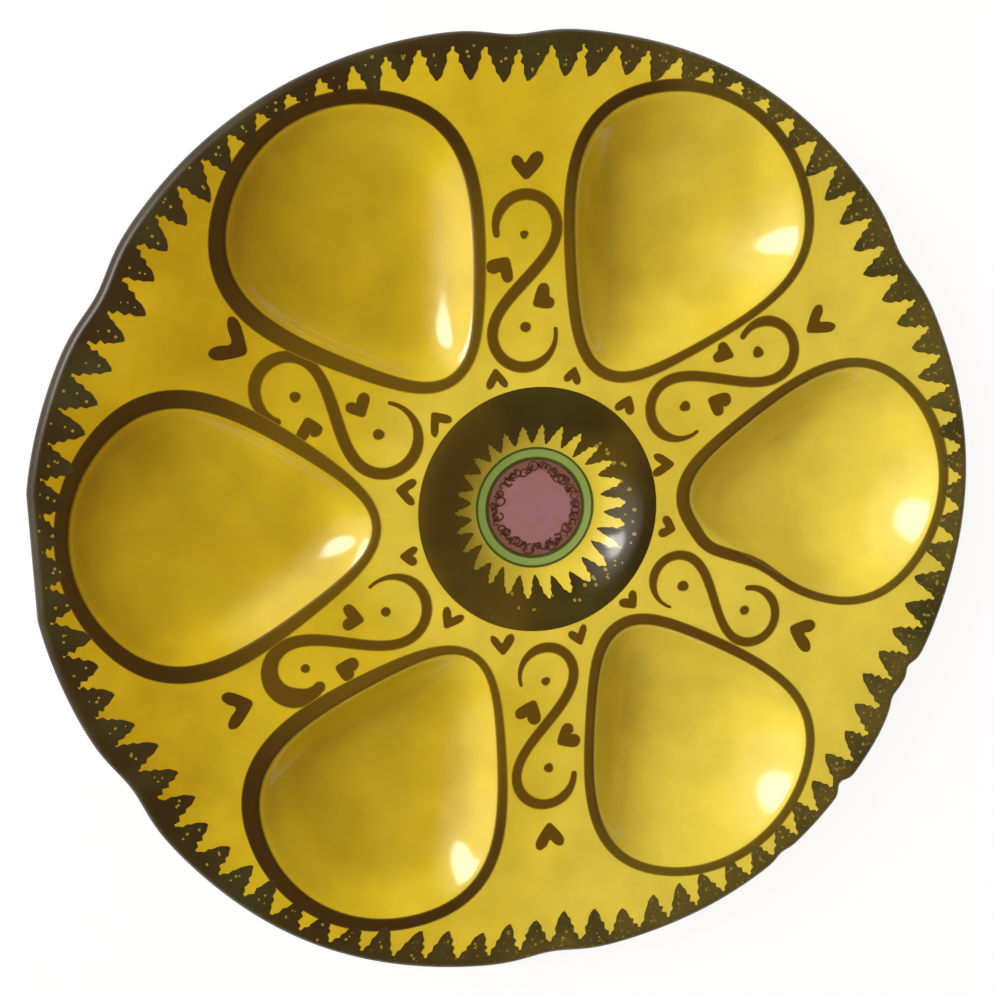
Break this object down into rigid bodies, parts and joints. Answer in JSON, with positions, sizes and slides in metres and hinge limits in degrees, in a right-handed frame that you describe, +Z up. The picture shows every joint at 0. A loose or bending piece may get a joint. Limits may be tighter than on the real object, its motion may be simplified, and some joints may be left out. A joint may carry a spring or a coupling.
{
  "type": "oyster plate",
  "caption": "Round glazed earthenware oyster plate with teardrop wells round a middle sauce well, a shallow lobed rim, painted brown scrolls and a foot ring to stand on.",
  "frame": {"origin": "on the table, under the middle of the foot ring", "axes": "+Z up out of the face, +X along the middle line of the first oyster well"},
  "size_m": [0.2348, 0.2294, 0.0216],
  "materials": {
    "biscuit": "fired clay, matt",
    "yellow_glaze": "glossy yellow tin glaze, mottled",
    "brown_paint": "dark brown in-glaze brushwork, glossy",
    "black_paint": "olive black in-glaze brushwork, glossy",
    "green_paint": "green in-glaze brushwork, glossy",
    "mauve_paint": "mauve in-glaze brushwork, glossy"
  },
  "bodies": {
    "root": {"biscuit_body": "biscuit", "foot_ring": "biscuit", "face_glaze": "yellow_glaze", "back_glaze": "yellow_glaze", "back_glaze_inside_foot": "yellow_glaze", "rim_band": "black_paint", "well_line_1": "brown_paint", "well_line_2": "brown_paint", "well_line_3": "brown_paint", "well_line_4": "brown_paint", "well_line_5": "brown_paint", "well_line_6": "brown_paint", "scroll_1": "brown_paint", "scroll_2": "brown_paint", "scroll_3": "brown_paint", "scroll_4": "brown_paint", "scroll_5": "brown_paint", "scroll_6": "brown_paint", "sauce_band": "black_paint", "green_ring": "green_paint", "rosette_disc": "mauve_paint"}
  },
  "joints": []
}
